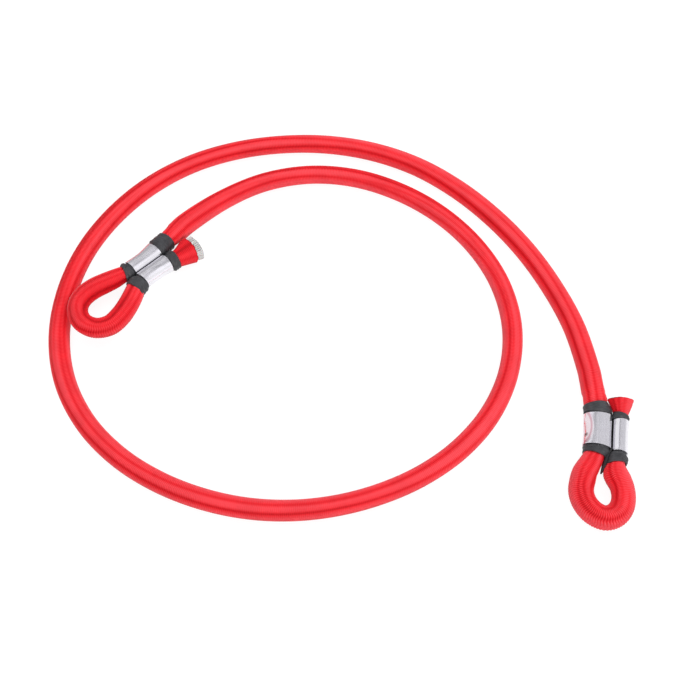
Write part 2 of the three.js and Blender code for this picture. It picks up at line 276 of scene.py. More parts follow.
# How thick the cord looks along the run: metres along it, radius over the nominal one
GIRTH_ALONG_RUN = (
    (0.00, 1.06),
    (0.04, 1.03),
    (0.14, 0.99),
    (0.28, 0.97),
    (0.35, 1.00),
    (0.41, 0.97),
    (0.49, 1.02),
    (0.59, 0.97),
    (0.70, 1.00),
    (0.86, 1.03),
    (1.05, 1.02),
    (1.20, 0.98),
    (1.34, 1.03),
    (1.46, 1.07),
    (1.58, 1.08),
)

# Slack lines of the braid: metres along the run, degrees from its right flank, depth
# Each line is a shallow valley whose darker yarn is painted shade; the far rims and the inside of eye B lie
# where shade falls on those flanks.
SLACK_LINES = (
    (  # right side
        (-0.2, 78, 1.3), (-0.165, 78, 1.5), (-0.14, 90, 1.3), (-0.125, 64, 1), (-0.108, 30, 1.1),
        (-0.09, 19, 0.9), (-0.06, 12, 1), (0, 36, 0.8), (0.1, 44, 0.9), (0.16, 33, 0.6), (0.25, 30, 0.6),
        (0.32, 54, 0.6), (0.38, 64, 0.8), (0.46, 79, 0.9), (0.58, 78, 0.7), (0.66, 88, 0.6), (0.8, 87, 0.6),
        (0.9, 80, 0.6), (1.02, 68, 0.3), (1.08, 64, 0),
    ),
    (  # left side
        (-0.2, 150, 0.5), (-0.165, 140, 0.7), (-0.14, 146, 0.8), (-0.128, 150, 0.9), (-0.115, 131, 0.9),
        (-0.1, 112, 0.8), (-0.08, 105, 0.7), (0, 110, 0.9), (0.1, 103, 0.9), (0.2, 99, 1),
        (0.27, 107, 0.5), (0.36, 128, 0.3), (0.44, 145, 0.2), (0.52, 141, 0.6), (0.6, 136, 1),
        (0.74, 140, 1), (0.88, 138, 0.8), (0.96, 138, 0.5), (1.06, 146, 0),
    ),
    (  # thin line by end A
        (-0.2, 107, 0.4), (-0.16, 110, 0.4), (-0.14, 117, 0.3), (-0.12, 93, 0.5), (-0.1, 78, 0.5),
        (-0.08, 72, 0.4), (0, 80, 0.4), (0.05, 74, 0.3), (0.12, 60, 0),
    ),
    (  # thin line over the first turn
        (0.15, 50, 0), (0.2, 58, 0.4), (0.28, 74, 0.4), (0.4, 94, 0.3), (0.48, 108, 0),
    ),
    (  # second turn, right side
        (0.68, 62, 0), (0.76, 54, 0.2), (0.84, 51, 0.4), (0.92, 50, 0.7), (1, 28, 0.8), (1.12, 28, 1),
        (1.26, 36, 1), (1.4, 33, 1), (1.54, 41, 1), (1.6, 56, 0.8), (1.64, 72, 0.6), (1.665, 70, 0.6),
        (1.685, 54, 1), (1.7, 53, 1), (1.712, 54, 0.5), (1.73, 80, 0.2), (1.8, 80, 0.4),
    ),
    (  # second turn, left side
        (0.86, 114, 0), (0.93, 108, 0.6), (1.04, 97, 0.9), (1.12, 90, 1), (1.18, 94, 0.8), (1.23, 79, 0.5),
        (1.34, 80, 0.4), (1.44, 89, 0.5), (1.56, 97, 0.6), (1.66, 98, 0.7), (1.675, 91, 0.9),
        (1.69, 81, 0.6), (1.7, 81, 0.2), (1.715, 101, 0.5), (1.73, 108, 0.5), (1.8, 106, 0.6),
    ),
    (  # inside of eye B, painted shade on its inner flank
        (1.26, 108, 0), (1.36, 116, 0.2), (1.48, 126, 0.2), (1.58, 132, 0.4), (1.65, 152, 0.8),
        (1.665, 143, 0.8), (1.68, 124, 0.6), (1.695, 110, 0.7), (1.705, 116, 0.8), (1.72, 137, 1),
        (1.735, 138, 1), (1.8, 138, 0.8),
    ),
    (  # painted shade on the far rim of the inner arc
        (0.02, 130, 0), (0.08, 128, 0.7), (0.2, 126, 0.7), (0.28, 126, 0.4), (0.34, 128, 0),
    ),
    (  # painted shade on the far rim of the outer arc
        (0.88, 130, 0), (0.96, 126, 0.8), (1.1, 126, 0.9), (1.18, 124, 0.5), (1.26, 122, 0),
    ),
    (  # underside
        (-0.2, 200, 0.8), (0.3, 206, 0.8), (0.9, 188, 0.8), (1.4, 200, 0.8), (1.8, 196, 0.8),
    ),
    (  # underside, middle
        (-0.2, 250, 0.9), (0.5, 262, 0.9), (1, 240, 0.9), (1.5, 255, 0.9), (1.8, 250, 0.9),
    ),
    (  # underside, right
        (-0.2, 318, 0.8), (0.4, 306, 0.8), (0.8, 325, 0.8), (1.3, 310, 0.8), (1.8, 322, 0.8),
    ),
)


def smooth_curve(points, per_span):
    """Centripetal Catmull-Rom curve through the points, sampled so many times per span."""
    points = np.asarray(points, float)
    padded = np.vstack([2 * points[0] - points[1], points, 2 * points[-1] - points[-2]])
    steps = np.arange(per_span)[:, None] / per_span
    spans = []
    for p0, p1, p2, p3 in zip(padded, padded[1:], padded[2:], padded[3:]):
        d0, d1, d2 = (math.sqrt(np.linalg.norm(b - a)) for a, b in ((p0, p1), (p1, p2), (p2, p3)))
        leave = ((p1 - p0) / d0 - (p2 - p0) / (d0 + d1) + (p2 - p1) / d1) * d1
        arrive = ((p2 - p1) / d1 - (p3 - p1) / (d1 + d2) + (p3 - p2) / d2) * d1
        square = -3 * p1 + 3 * p2 - 2 * leave - arrive
        cube = 2 * p1 - 2 * p2 + leave + arrive
        spans.append(p1 + leave * steps + square * steps**2 + cube * steps**3)
    return np.vstack([*spans, points[-1:]])


def unit(vectors):
    return vectors / np.linalg.norm(vectors, axis=-1, keepdims=True)


def lengths_along(path):
    """Distance along a path to each of its points."""
    return np.concatenate([[0], np.cumsum(np.linalg.norm(np.diff(path, axis=0), axis=1))])


def softened(values, reach):
    """Running mean over so many samples on either side, with the ends held."""
    if reach < 1:
        return values
    held = np.pad(values, [(reach, reach)] + [(0, 0)] * (values.ndim - 1), mode="edge")
    weights = np.hanning(2 * reach + 3)[1:-1]
    weights /= weights.sum()
    return np.apply_along_axis(lambda column: np.convolve(column, weights, "valid"), 0, held)


def leg_knots(leg, side, outer_length, outer_girth):
    """Knots of one leg: x, y, half width, half height and liner wall, from outside the ferrule to the eye."""
    radius = RADIUS / MM

    def barrel_y(girth):
        return side * (girth[0] + (BARREL_OUTSIDE - FERRULE_PINCH / 2) / MM)

    def knot(x, y, girth, wall):
        return (x + leg["slip"], y, *girth, wall)

    edge_out, edge_in = [tuple(radius + extra for extra in edge) for edge in leg["edges"]]
    rim_out, waist, rim_in = leg["barrel"]
    rim = RIM / MM
    lip = LIP_DISTANCE / MM
    wall = LINER_WALL / MM
    edge = LINER_EDGE / MM
    band_out, band_in = leg["bands"]
    collar_girth = tuple((one + two) / 2 for one, two in zip(edge_out, rim_out))
    lip_girth = tuple((one + two) / 2 for one, two in zip(edge_in, rim_in))
    full = tuple(radius + extra for extra in outer_girth)
    return [
        knot(-rim - band_out - outer_length, leg["mouth_y"][0], full, 0),
        knot(-rim - band_out, leg["mouth_y"][1], edge_out, edge),
        knot(-rim - lip, leg["mouth_y"][2], collar_girth, wall + COLLAR_SWELL / MM),
        knot(-rim, barrel_y(rim_out), rim_out, wall),
        knot(0, barrel_y(waist), waist, wall),
        knot(rim, barrel_y(rim_in), rim_in, wall),
        knot(rim + lip, leg["lip_y"][0], lip_girth, wall + LIP_SWELL / MM),
        knot(rim + band_in, leg["lip_y"][1], edge_in, edge),
    ]


LINER_OUT, RIM_OUT, RIM_IN, LINER_IN = 1, 3, 5, 7  # knots of a leg
PER_KNOT = 24


class End:
    """One looped end: its path in the part's frame, with the girth and liner wall along it."""

    def __init__(self, spec):
        self.spec = spec
        standing = leg_knots(spec["standing"], -1, REVEAL / MM, (0, 0))
        tail = leg_knots(spec["tail"], 1, spec["stub"], spec["stub_girth"])[::-1]
        radius = RADIUS / MM
        eye = [(x, y, radius + wide, radius + high, 0) for x, y, wide, high in spec["eye"]]
        self.knots = np.array([*standing, *eye, *tail]) * MM
        flat = np.column_stack([self.knots[:, :2], np.zeros(len(self.knots))])
        self.local = smooth_curve(flat, PER_KNOT)
        stations = np.linspace(0, len(self.knots) - 1, len(self.local))
        along = np.arange(len(self.knots))
        values = np.column_stack([np.interp(stations, along, self.knots[:, k]) for k in (2, 3, 4)])
        self.girth = softened(values[:, :2], 10)
        self.wall = softened(values[:, 2], 6)
        heading, tilt = math.radians(spec["heading"]), math.radians(spec["tilt"])
        level = math.cos(tilt)
        ahead = np.array([math.cos(heading) * level, math.sin(heading) * level, math.sin(tilt)])
        across = np.array([-math.sin(heading), math.cos(heading), 0])
        self.axes = np.array([ahead, across, np.cross(ahead, across)])
        self.place = np.array(spec["place"]) * MM
        self.path = self.to_part(self.local)

    def to_part(self, points):
        return self.place + points @ self.axes

    def from_part(self, points):
        return (points - self.place) @ self.axes.T

    def span(self, leg, first, last):
        """Slice of the path between two knots of a leg, in the direction from the mouth to the tail."""
        if leg == "standing":
            return slice(first * PER_KNOT, last * PER_KNOT + 1)
        end = len(self.knots) - 1
        return slice((end - last) * PER_KNOT, (end - first) * PER_KNOT + 1)


def frames_along(path):
    """Direction, side and up of each ring of a path, with the side kept level."""
    direction = unit(np.gradient(path, axis=0))
    side = unit(np.cross(direction, (0, 0, 1)))
    return direction, side, np.cross(side, direction)


def oval_rings(path, girth, grow, sides=SIDES):
    """Rings of points round a path, grown out from its girth."""
    _, side, up = frames_along(path)
    angle = 2 * math.pi * np.arange(sides) / sides
    grow = np.broadcast_to(grow, len(path))
    across = (girth[:, 0] + grow)[:, None, None] * np.cos(angle)[None, :, None] * side[:, None, :]
    high = (girth[:, 1] + grow)[:, None, None] * np.sin(angle)[None, :, None] * up[:, None, :]
    return path[:, None, :] + across + high


def above_floor(points):
    """Presses points that would sink into the surface up onto it, in a soft line."""
    lift = 0.1 * MM
    ease = 0.7 * MM
    height = points[..., 2] - lift
    points[..., 2] = lift + (height + np.sqrt(height**2 + ease**2)) / 2
    return points


def grid_faces(rows, columns, first=0):
    """Quads between rows of points that close round each row."""
    row, column = np.meshgrid(np.arange(rows - 1), np.arange(columns), indexing="ij")
    here = row * columns
    beyond = here + columns
    after = (column + 1) % columns
    corners = (here + column, here + after, beyond + after, beyond + column)
    return np.stack(corners, -1).reshape(-1, 4) + first


def make_mesh(name, points, faces):
    """A smooth-shaded piece of the given points and faces, whose corners are point numbers."""
    mesh = bpy.data.meshes.new(name)
    if isinstance(faces, np.ndarray):
        faces = faces.tolist()
    mesh.from_pydata(points.reshape(-1, 3).tolist(), [], faces)
    mesh.update()
    mesh.shade_smooth()
    piece = bpy.data.objects.new(name, mesh)
    scene.collection.objects.link(piece)
    return piece


def add_value(piece, name, values):
    layer = piece.data.attributes.new(name, "FLOAT", "POINT")
    layer.data.foreach_set("value", np.ascontiguousarray(values.ravel(), dtype=np.float32))


def tube_mesh(name, outer, inner):
    """A closed tube: along the outside, round the edge and back along the inside."""
    rows = np.concatenate([outer, inner[::-1], outer[:1]])
    points = rows[:-1]
    faces = grid_faces(len(rows), rows.shape[1])
    faces = faces % (len(points) * rows.shape[1])
    return make_mesh(name, points, faces)


def capped_mesh(name, rings):
    """A closed body through rings, with a flat face at either end."""
    count = rings.shape[1]
    last = (len(rings) - 1) * count
    faces = [*grid_faces(len(rings), count).tolist(), range(count - 1, -1, -1), range(last, last + count)]
    return make_mesh(name, rings, faces)


# Materials


class Nodes:
    """Small helper that adds and links shader nodes."""

    def __init__(self, name):
        self.material = bpy.data.materials.new(name)
        self.material.use_nodes = True
        self.tree = self.material.node_tree
        self.shader = self.tree.nodes["Principled BSDF"]

    def add(self, kind, **settings):
        node = self.tree.nodes.new(kind)
        for key, value in settings.items():
            setattr(node, key, value)
        return node

    def link(self, source, target):
        self.tree.links.new(source, target)

    def set(self, **values):
        for name, value in values.items():
            self.shader.inputs[name.replace("_", " ")].default_value = value

    def noise(self, scale, detail, stretch=(1, 1, 1), source=None):
        coordinates = self.add("ShaderNodeTexCoord")
        mapping = self.add("ShaderNodeMapping")
        mapping.inputs["Scale"].default_value = stretch
        self.link(source or coordinates.outputs["Object"], mapping.inputs["Vector"])
        noise = self.add("ShaderNodeTexNoise")
        noise.inputs["Scale"].default_value = scale
        noise.inputs["Detail"].default_value = detail
        self.link(mapping.outputs["Vector"], noise.inputs["Vector"])
        return noise.outputs["Fac"]

    def ramp(self, source, stops):
        ramp = self.add("ShaderNodeValToRGB")
        elements = ramp.color_ramp.elements
        while len(elements) < len(stops):
            elements.new(0.5)
        for element, (place, color) in zip(elements, stops):
            element.position = place
            element.color = (*color, 1)
        self.link(source, ramp.inputs["Fac"])
        return ramp.outputs["Color"]

    def fade(self, source, span):
        """A share that goes from 0 to 1 as the source crosses the span."""
        fade = self.add("ShaderNodeMapRange")
        fade.inputs["From Min"].default_value, fade.inputs["From Max"].default_value = span
        self.link(source, fade.inputs["Value"])
        return fade.outputs[0]

    def mix(self, factor, first, second, blend="MIX"):
        mix = self.add("ShaderNodeMix", data_type="RGBA", blend_type=blend)
        for value, socket in ((factor, mix.inputs[0]), (first, mix.inputs[6]), (second, mix.inputs[7])):
            if hasattr(value, "is_output"):
                self.link(value, socket)
            else:
                socket.default_value = value if isinstance(value, float) else (*value, 1)
        return mix.outputs[2]

    def value(self, name):
        node = self.add("ShaderNodeAttribute", attribute_name=name)
        return node.outputs["Fac"]

    def bump(self, height, strength, distance):
        bump = self.add("ShaderNodeBump")
        bump.inputs["Strength"].default_value = strength
        bump.inputs["Distance"].default_value = distance
        self.link(height, bump.inputs["Height"])
        self.link(bump.outputs["Normal"], self.shader.inputs["Normal"])


def sheath_material():
    nodes = Nodes("braided_sheath")
    # the yarn's red, with painted shade in the braid's valleys and creases, inside eye A and by the tails,
    # and painted highlight on its crests
    yarn = nodes.ramp(
        nodes.value("tone_and_shade"),
        (
            (0.0, (0.50, 0.001, 0.006)),
            (0.4, (0.75, 0.005, 0.013)),
            (0.75, (0.87, 0.027, 0.037)),
            (1.0, (0.925, 0.074, 0.093)),
        ),
    )
    patches = nodes.ramp(nodes.noise(60, 3), ((0.35, (0.90, 0.90, 0.90)), (0.65, (1.0, 1.0, 1.0))))
    burnt = nodes.mix(nodes.value("burn"), yarn, (0.03, 0.004, 0.004))
    nodes.link(nodes.mix(1.0, burnt, patches, "MULTIPLY"), nodes.shader.inputs["Base Color"])
    nodes.set(Roughness=0.55, Specular_IOR_Level=0.16, Sheen_Weight=0.8, Sheen_Roughness=0.2)
    nodes.shader.inputs["Sheen Tint"].default_value = (1.0, 0.8, 0.8, 1)
    nodes.bump(nodes.noise(2600, 2), 0.25, 0.15 * MM)
    return nodes.material


def core_material():
    nodes = Nodes("rubber_strands")
    tint = nodes.ramp(nodes.noise(400, 3), ((0.3, (0.60, 0.59, 0.58)), (0.7, (0.82, 0.81, 0.80))))
    strands = nodes.ramp(nodes.value("strand"), ((0.0, (0.70, 0.69, 0.69)), (1.0, (1.0, 1.0, 1.0))))
    nodes.link(nodes.mix(1.0, tint, strands, "MULTIPLY"), nodes.shader.inputs["Base Color"])
    nodes.set(Roughness=0.55, Specular_IOR_Level=0.4, Subsurface_Weight=0.1, Subsurface_Scale=0.002)
    nodes.bump(nodes.noise(1500, 2), 0.3, 0.1 * MM)
    return nodes.material


def liner_material(name, dark, light):
    nodes = Nodes(name)
    tint = nodes.ramp(nodes.noise(180, 4), ((0.3, dark), (0.7, light)))
    nodes.link(tint, nodes.shader.inputs["Base Color"])
    rough = nodes.ramp(nodes.noise(500, 2), ((0.3, (0.42, 0.42, 0.42)), (0.7, (0.62, 0.62, 0.62))))
    nodes.link(rough, nodes.shader.inputs["Roughness"])
    nodes.set(Specular_IOR_Level=0.5)
    nodes.bump(nodes.noise(900, 3), 0.3, 0.15 * MM)
    return nodes.material


SEAM = (0.25 * MM, 0.7 * MM)  # where the painted shade between the barrels begins to fade, and where it ends
SEAM_SHADE_COLOR = (0.06, 0.06, 0.064)
# a painted dark reflection in the dent: where it begins to fade and where it ends, and its colour
DARK_REFLECTION = (0.6 * MM, 2.4 * MM)
DARK_REFLECTION_COLOR = (0.10, 0.09, 0.08)
BLUSH = (1, 0.90, 0.91)  # painted reflection of the cord's red in the metal, faint inside a glint's arc
PINK = (0.82, 0.55, 0.59)  # and stronger along it
# painted reflection of the cord's pink round the dent, by reach from the glint's middle
GLINT = (
    (0.64, BLUSH),
    (0.71, PINK),
    (0.79, PINK),
    (0.86, (0.97, 0.90, 0.92)),
    (1.0, (1, 1, 1)),
)


def ferrule_material(end, painted_reflections):
    """Drawn aluminium, with fine lines along the barrels, painted shade in the seam between them and painted
    reflections in the dent of one.
    """
    nodes = Nodes(f"aluminium_{end.spec['name']}")
    coordinates = nodes.add("ShaderNodeTexCoord")
    turn = nodes.add("ShaderNodeMapping", vector_type="TEXTURE")
    turn.inputs["Location"].default_value = end.place
    turn.inputs["Rotation"].default_value = (0, 0, math.radians(end.spec["heading"]))
    nodes.link(coordinates.outputs["Object"], turn.inputs["Vector"])
    place = turn.outputs["Vector"]
    lines = nodes.noise(1400, 2, (0.03, 1, 1), place)
    metal = nodes.ramp(nodes.noise(90, 3), ((0.3, (0.78, 0.77, 0.81)), (0.7, (0.86, 0.85, 0.89))))
    # painted shade in the seam between the barrels
    across = nodes.add("ShaderNodeSeparateXYZ")
    nodes.link(place, across.inputs[0])
    from_seam = nodes.add("ShaderNodeMath", operation="ABSOLUTE")
    nodes.link(across.outputs["Y"], from_seam.inputs[0])
    metal = nodes.mix(nodes.fade(from_seam.outputs[0], SEAM), SEAM_SHADE_COLOR, metal)
    # painted reflections in the dent: a dark spot and a pink arc
    if "dark_reflection" in painted_reflections:
        from_dark_reflection = nodes.add("ShaderNodeVectorMath", operation="DISTANCE")
        nodes.link(place, from_dark_reflection.inputs[0])
        from_dark_reflection.inputs[1].default_value = painted_reflections["dark_reflection"]
        metal = nodes.mix(nodes.fade(from_dark_reflection.outputs["Value"], DARK_REFLECTION), DARK_REFLECTION_COLOR, metal)
    if "glint" in painted_reflections:
        from_glint = nodes.add("ShaderNodeMapping", vector_type="TEXTURE")
        half_length, half_width = (size * MM for size in end.spec["dent"]["glint_half"])
        from_glint.inputs["Location"].default_value = painted_reflections["glint"]
        from_glint.inputs["Scale"].default_value = (half_length, half_width, half_width)
        nodes.link(place, from_glint.inputs["Vector"])
        reach = nodes.add("ShaderNodeVectorMath", operation="LENGTH")
        nodes.link(from_glint.outputs["Vector"], reach.inputs[0])
        metal = nodes.mix(1.0, metal, nodes.ramp(reach.outputs["Value"], GLINT), "MULTIPLY")
    nodes.link(metal, nodes.shader.inputs["Base Color"])
    rough = nodes.ramp(lines, ((0.3, (0.20, 0.20, 0.20)), (0.7, (0.30, 0.30, 0.30))))
    nodes.link(rough, nodes.shader.inputs["Roughness"])
    nodes.set(Metallic=1.0)
    nodes.bump(lines, 0.03, 0.05 * MM)
    return nodes.material


SHEATH = sheath_material()
CORE = core_material()
LINER = liner_material("liner_rubber", (0.018, 0.018, 0.021), (0.042, 0.043, 0.048))
# a darker copy of the liner rubber: painted shade on the torn end between the legs of end B
TORN = liner_material("torn_rubber_in_shade", (0.003, 0.003, 0.004), (0.009, 0.009, 0.010))

# The whole cord, from the tail of end A to the tail of end B

end_a, end_b = End(END_A), End(END_B)


def leaving(end, distance):
    """A point on the cord, so far outside the mouth of an end."""
    outward = unit(end.path[0] - end.path[1])
    return end.path[0] + outward * distance


lifted = [(x, y, REST_HEIGHT) for x, y in RUN_POINTS]
for index, rise in RUN_RISE.items():
    lifted[index] = (*RUN_POINTS[index], REST_HEIGHT + rise)
run_points = [end_a.path[0], leaving(end_a, LEAD), *lifted, leaving(end_b, LEAD), end_b.path[0]]
run = smooth_curve(run_points, 30)
run_along = lengths_along(run)
thickness = softened(np.interp(run_along, *np.array(GIRTH_ALONG_RUN).T), 25)
run_girth = np.column_stack([RADIUS * thickness] * 2)

whole = np.vstack([end_a.path[:0:-1], run, end_b.path[1:]])
whole_girth = np.vstack([end_a.girth[:0:-1], run_girth, end_b.girth[1:]])
along = lengths_along(whole)
run_start = along[len(end_a.path) - 1]
run_length = run_along[-1]
ring_count = int(along[-1] / RING_SPACING) + 1
stations = np.linspace(0, along[-1], ring_count)
centre = np.column_stack([np.interp(stations, along, whole[:, k]) for k in range(3)])
girth = np.column_stack([np.interp(stations, along, whole_girth[:, k]) for k in range(2)])
girth = softened(girth, 6)
centre = softened(centre, 4)
run_place = stations - run_start


def braid_height(distance, angle, opened):
    """Height of the braid over the mean surface, and how light the yarn is there (0 to 1), with painted shade
    in its valleys and creases and painted highlight on its crests.

    opened is how far a bend spreads the ribs apart, as a share of their pitch.
    """
    place = angle * COLUMNS / (2 * math.pi)
    column = place - np.floor(place)
    zigzag = np.abs((place / 2 - np.floor(place / 2)) * 2 - 1)
    rib = np.cos(2 * math.pi * (distance / RIB_PITCH + 2 * RIB_SLANT * zigzag)) * (1 + RIB_GROWTH * opened)
    bulge = np.sin(math.pi * column) - 0.6
    valley = np.zeros_like(rib)
    crease = np.zeros_like(rib)
    for track in SLACK_LINES:
        places, turns, depths = np.array(track).T
        turn = softened(np.radians(np.interp(distance, places, turns)), 12)
        weight = softened(np.interp(distance, places, depths), 12)
        away = angle - turn - 0.05 * np.sin(31 * distance + turns[0])
        away = RADIUS * np.abs((away + math.pi) % (2 * math.pi) - math.pi)
        valley += weight * np.exp(-((away / VALLEY_WIDTH) ** 2))
        crease += weight * np.exp(-((away / CREASE_WIDTH) ** 2))
    height = RIB_HEIGHT * rib + COLUMN_HEIGHT * bulge - VALLEY_DEPTH * valley - CREASE_DEPTH * crease
    # painted highlight on the rib crests and painted shade between them, stronger in the valleys
    shown = RIB_SHADING * rib * (1 + 2 * np.clip(valley, 0, 1))
    # painted shade in the valleys and creases, painted highlight on the column bulges
    tone_and_shade = FLAT_TONE + shown + COLUMN_SHADING * bulge - VALLEY_SHADE * valley - CREASE_SHADE * crease
    return height, np.clip(tone_and_shade, 0, 1)


def hem(rings, outward, along):
    """Rounds the cut edge of the sheath over and runs it back inside, from the last ring of a tail."""
    edge = 0.3 * SHEATH_WALL
    inside = rings[-1 - int(HEM_REACH / RING_SPACING)]
    steps = ((rings[-1], edge, 0.3), (rings[-1], edge, 0.7), (rings[-1], 0, 1), (inside, 0, 1))
    return np.stack([ring + along * ahead - outward * SHEATH_WALL * depth for ring, ahead, depth in steps])


angles = 2 * math.pi * np.arange(SIDES) / SIDES
right_flank = np.clip(np.cos(angles), 0, 1)
left_flank = np.clip(-np.cos(angles), 0, 1)
direction, side, up = frames_along(centre)
bend = np.gradient(direction, axis=0) / np.gradient(stations)[:, None]
spoke = np.cos(angles)[None, :, None] * side[:, None, :] * girth[:, :1, None]
spoke = spoke + np.sin(angles)[None, :, None] * up[:, None, :] * girth[:, 1:, None]
bend = softened(bend, 12)
opened = RADIUS * np.linalg.norm(bend, axis=1)[:, None] - (spoke * bend[:, None, :]).sum(-1)
opened = np.clip(opened / 2, 0, 0.5)
opened[run_place < 0] *= EYE_A_OPENING
height, tone_and_shade = braid_height(run_place[:, None], angles[None, :], opened)
outward = unit(spoke / (girth[:, :1, None] * girth[:, 1:, None]))
surface = centre[:, None, :] + spoke + height[:, :, None] * outward

# The cord swells or gives at one flank where its legs lean on each other


def swollen(places, first, last, flank, amount, skew=1):
    """Swells one flank between two places, fullest in the middle, or sooner with a skew under 1."""
    share = np.sin(math.pi * np.clip((places - first) / (last - first), 0, 1) ** skew) ** 2
    lean = np.clip(np.cos(angles - flank), 0, 1) ** 1.5
    return amount * (share[:, None] * lean)[:, :, None] * outward


def place_of(end, leg, knot):
    """Metres along the run to a knot of an end's leg."""
    index = end.span(leg, knot, knot).start
    length = lengths_along(end.path[: index + 1])[-1]
    return run_length + length if end is end_b else -length


tip_a, tip_b = run_place[0], run_place[-1]
eye_b_in, eye_b_out = place_of(end_b, "standing", LINER_IN), place_of(end_b, "tail", LINER_IN)
for first, last, flank, *amount in (
    (tip_a - 14 * MM, tip_a + 14 * MM, 0, 2.6 * MM),
    (tip_b - 12 * MM, tip_b + 12 * MM, math.pi, 0.8 * MM),
    (-9.5 * MM, 85 * MM, 0, 1.7 * MM, 0.55),
    (run_length - 26 * MM, run_length + 11.5 * MM, math.pi, 1.4 * MM, 4),
    (eye_b_in - 4 * MM, eye_b_in + 24 * MM, math.pi, -1.8 * MM),
    (eye_b_out - 14 * MM, eye_b_out + 2 * MM, math.pi, 1.7 * MM),
):
    surface = surface + swollen(run_place, first, last, flank, *amount)

# Frayed cut edges, darker at end A and burnt on one side at end B
fray = 0.35 * np.sin(5 * angles) + 0.25 * np.sin(11 * angles + 1) + 0.2 * np.sin(23 * angles + 2)
cut_a = FRAY_A * fray + 0.8 * MM * np.sin(angles) - 1.6 * MM * left_flank**2
cut_b = FRAY_B * (fray + 2.5 * np.sin(angles + 2.6)) - 1.0 * MM * left_flank**2
for ring in range(FRAY_RINGS):
    share = (1 - ring / FRAY_RINGS) ** 2
    surface[ring] -= direction[ring] * (share * cut_a)[:, None]
    surface[-1 - ring] += direction[-1 - ring] * (share * cut_b)[:, None]
burnt_side = np.clip(0.3 - 1.2 * np.cos(angles), 0.08, 1)
burn = np.zeros_like(tone_and_shade)
burn[-BURNT_RINGS_B:] = np.linspace(0.1, 1, BURNT_RINGS_B)[:, None] * burnt_side
burn[:DARK_RINGS_A] = np.linspace(0.5, 0, DARK_RINGS_A)[:, None]

# Less light gets to the inside of eye A and between the tails and the standing cord
in_eye_a = np.clip((run_place + 0.185) / 0.02, 0, 1) * np.clip((-0.035 - run_place) / 0.02, 0, 1)
in_tail_a = np.clip((tip_a + 22 * MM - run_place) / (4 * MM), 0, 1)
in_tail_b = np.clip((run_place - tip_b + 20 * MM) / (4 * MM), 0, 1)
tone_and_shade = tone_and_shade - in_eye_a[:, None] * (0.10 + 0.32 * right_flank**1.5)
tone_and_shade = tone_and_shade - in_tail_a[:, None] * (0.22 + 0.4 * right_flank**1.5)
tone_and_shade = tone_and_shade - in_tail_b[:, None] * (0.05 + 0.3 * left_flank)
tone_and_shade = np.clip(tone_and_shade, 0, 1)

# Hems of the tails, whose rows count as metres beyond the tips
hem_a = hem(surface[::-1], outward[0], -direction[0])[::-1]
hem_b = hem(surface, outward[-1], direction[-1])
hem_rows = len(hem_a)
surface = above_floor(np.concatenate([hem_a, surface, hem_b]))
widened = [(hem_rows, hem_rows), (0, 0)]
centre = np.pad(centre, widened, mode="edge")
tone_and_shade = np.pad(tone_and_shade, widened, mode="edge")
burn = np.pad(burn, widened, mode="edge")
beyond = 1 + np.arange(hem_rows)
run_place = np.concatenate([tip_a - beyond[::-1], run_place, tip_b + beyond])
around = np.roll(surface, -1, 1) - np.roll(surface, 1, 1)
normals = unit(np.cross(np.gradient(surface, axis=0), around))
middle = len(normals) // 2
normals *= np.sign((normals[middle] * (surface[middle] - centre[middle])).sum())


def cord_piece(name, first, last):
    """The part of the cord between two places along the run, as a piece of its own."""
    low = int(np.argmin(np.abs(run_place - first)))
    high = int(np.argmin(np.abs(run_place - last)))
    part = slice(low, high + 1)
    piece = make_mesh(name, surface[part], grid_faces(high - low + 1, SIDES)[:, ::-1])
    add_value(piece, "tone_and_shade", tone_and_shade[part])
    add_value(piece, "burn", burn[part])
    piece.data.normals_split_custom_set_from_vertices(normals[part].reshape(-1, 3).tolist())
    piece.data.materials.append(SHEATH)
    return piece, centre[part]


lead_a, lead_a_path = cord_piece("cord_lead_a", 0, RUN_CUTS["lead_a"])
turns, turns_path = cord_piece("cord_turns", RUN_CUTS["lead_a"], RUN_CUTS["turns"])
stretch, stretch_path = cord_piece("cord_stretch", RUN_CUTS["turns"], RUN_CUTS["stretch"])
lead_b, lead_b_path = cord_piece("cord_lead_b", RUN_CUTS["stretch"], run_length)
eye_a, _ = cord_piece("cord_eye_a", run_place[0], 0)
eye_b, _ = cord_piece("cord_eye_b", run_length, run_place[-1])

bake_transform(lead_a)
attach(turns, "main_run")
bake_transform(stretch)
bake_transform(lead_b)
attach(eye_a, "end_a")
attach(eye_b, "end_b")
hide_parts("sheath_lead_a", "core_lead_a")
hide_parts(*(f"{layer}_turn_{n}" for layer in ("sheath", "core") for n in range(1, 5)))
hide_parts("sheath_stretch", "core_stretch")
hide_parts("sheath_lead_b", "core_lead_b")
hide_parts("sheath_eye_a", "core_eye_a")
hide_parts("sheath_eye_b", "core_eye_b")

# Ferrules and liners


def boolean(target, tool, operation):
    """Joins or cuts a piece with another one, which is used up."""
    modifier = target.modifiers.new(operation, "BOOLEAN")
    modifier.operation = operation
    modifier.solver = "EXACT"
    modifier.object = tool
    bake_modifiers(target)
    bpy.data.objects.remove(tool)


def bake_modifiers(piece):
    shaped = piece.evaluated_get(bpy.context.evaluated_depsgraph_get())
    mesh = bpy.data.meshes.new_from_object(shaped)
    piece.modifiers.clear()
    piece.data = mesh


def extended(rings, distance):
    """Rings with one more at either end, moved on along the body."""
    before = rings[:1] + unit(rings[0].mean(0) - rings[1].mean(0)) * distance
    after = rings[-1:] + unit(rings[-1].mean(0) - rings[-2].mean(0)) * distance
    return np.concatenate([before, rings, after])


